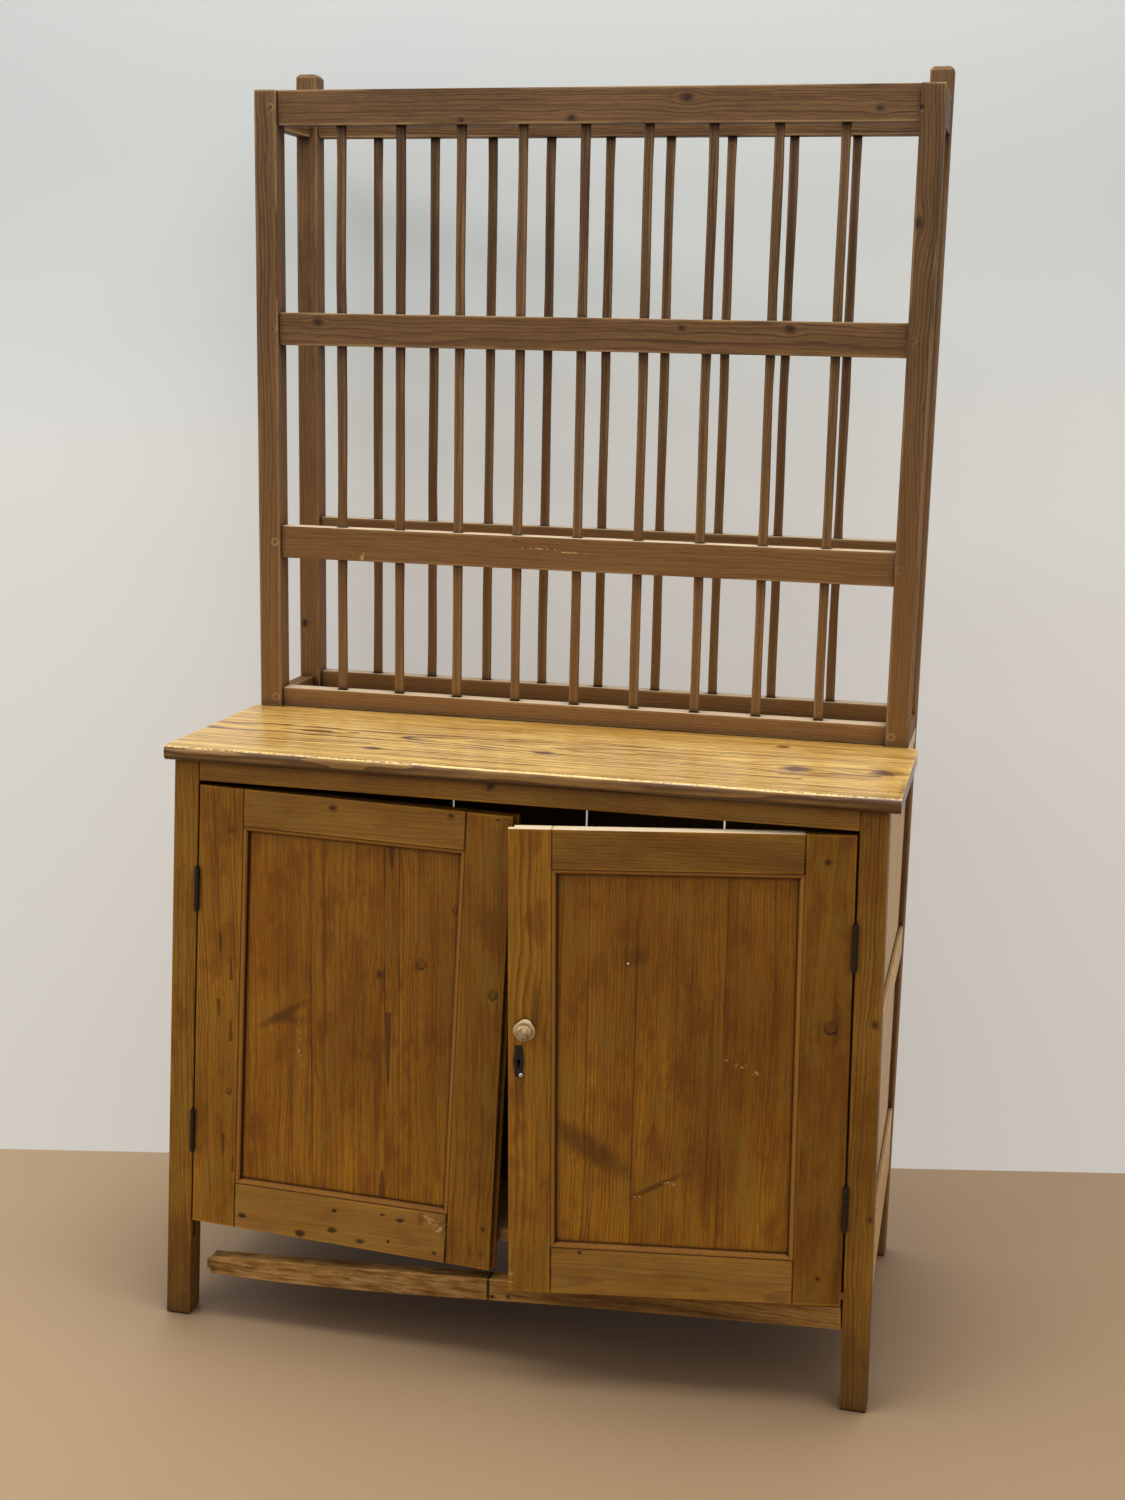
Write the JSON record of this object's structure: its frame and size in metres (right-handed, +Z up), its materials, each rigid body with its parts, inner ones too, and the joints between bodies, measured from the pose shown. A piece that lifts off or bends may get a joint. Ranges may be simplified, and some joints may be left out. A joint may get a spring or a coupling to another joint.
{
  "type": "trastero cabinet",
  "caption": "Pine kitchen cupboard with two framed doors under an open rack made of a front and a rear grille of upright slats.",
  "frame": {"origin": "middle of the footprint on the floor, with the doors as they stand at rest", "axes": "+Z up, +Y towards the back (the rear posts), +X to the right as seen from the front"},
  "size_m": [1.0488, 0.615, 1.841],
  "materials": {
    "cupboard_wood": "old waxed honey-brown pine with knots, dark nail holes and worn edges",
    "rack_wood": "greyer waxed pine, open grain",
    "table_wood": "golden waxed pine with a soft sheen and cathedral grain",
    "iron": "dark rusted iron",
    "knob": "pale turned wood, handled smooth"
  },
  "bodies": {
    "carcass": {"front_left_post": "cupboard_wood", "rear_left_post": "rack_wood", "left_top_side_rail": "cupboard_wood", "left_middle_side_rail": "cupboard_wood", "left_bottom_side_rail": "cupboard_wood", "left_side_panels": "cupboard_wood", "rack_left_stile": "rack_wood", "front_right_post": "cupboard_wood", "rear_right_post": "rack_wood", "right_top_side_rail": "cupboard_wood", "right_middle_side_rail": "cupboard_wood", "right_bottom_side_rail": "cupboard_wood", "right_side_panels": "cupboard_wood", "rack_right_stile": "rack_wood", "rack_top_side_rails": "rack_wood", "rack_foot_side_rails": "rack_wood", "post_hinge_leaves": "iron", "front_apron": "cupboard_wood", "front_bottom_rail": "cupboard_wood", "rear_top_rail": "cupboard_wood", "rear_bottom_rail": "cupboard_wood", "back_boards": "cupboard_wood", "floor_boards": "cupboard_wood", "shelf_boards": "cupboard_wood", "floor_bearers": "cupboard_wood", "shelf_bearers": "cupboard_wood", "table_front_board": "table_wood", "table_rear_board": "table_wood", "rack_front_top_rail": "rack_wood", "rack_rear_top_rail": "rack_wood", "rack_front_upper_rail": "rack_wood", "rack_rear_upper_rail": "rack_wood", "rack_front_lower_rail": "rack_wood", "rack_rear_lower_rail": "rack_wood", "rack_front_bottom_rail": "rack_wood", "rack_rear_bottom_rail": "rack_wood", "rack_front_slats": "rack_wood", "rack_rear_slats": "rack_wood", "rack_pegs": "rack_wood", "post_hinge_screws": "iron"},
    "left_door": {"left_door_hinge_stile": "cupboard_wood", "left_door_lock_stile": "cupboard_wood", "left_door_top_rail": "cupboard_wood", "left_door_bottom_rail": "cupboard_wood", "left_door_panel": "cupboard_wood", "left_door_bead": "cupboard_wood", "left_door_hinge_leaves": "iron", "left_door_hinge_screws": "iron"},
    "right_door": {"right_door_hinge_stile": "cupboard_wood", "right_door_lock_stile": "cupboard_wood", "right_door_top_rail": "cupboard_wood", "right_door_bottom_rail": "cupboard_wood", "right_door_panel": "cupboard_wood", "right_door_bead": "cupboard_wood", "right_door_hinge_leaves": "iron", "right_door_hinge_screws": "iron", "door_knob": "knob", "escutcheon": "iron", "lock_case": "iron"},
    "lock_bolt": {"lock_bolt": "iron"}
  },
  "joints": [
    {"name": "left_door_hinge", "type": "hinge", "parent": "carcass", "child": "left_door", "pos_m": [-0.48056, -0.21602, 0.1555], "axis": [-0.0385, 0, -0.9993], "range_deg": [0, 165]},
    {"name": "right_door_hinge", "type": "hinge", "parent": "carcass", "child": "right_door", "pos_m": [0.4819, -0.21602, 0.1555], "axis": [-0.0164, 0, 0.9999], "range_deg": [-8.5, 156.5]},
    {"name": "lock_bolt_slide", "type": "slide", "parent": "right_door", "child": "lock_bolt", "axis": [-0.9889, -0.1478, -0.0162], "range_m": [0, 0.011]}
  ]
}
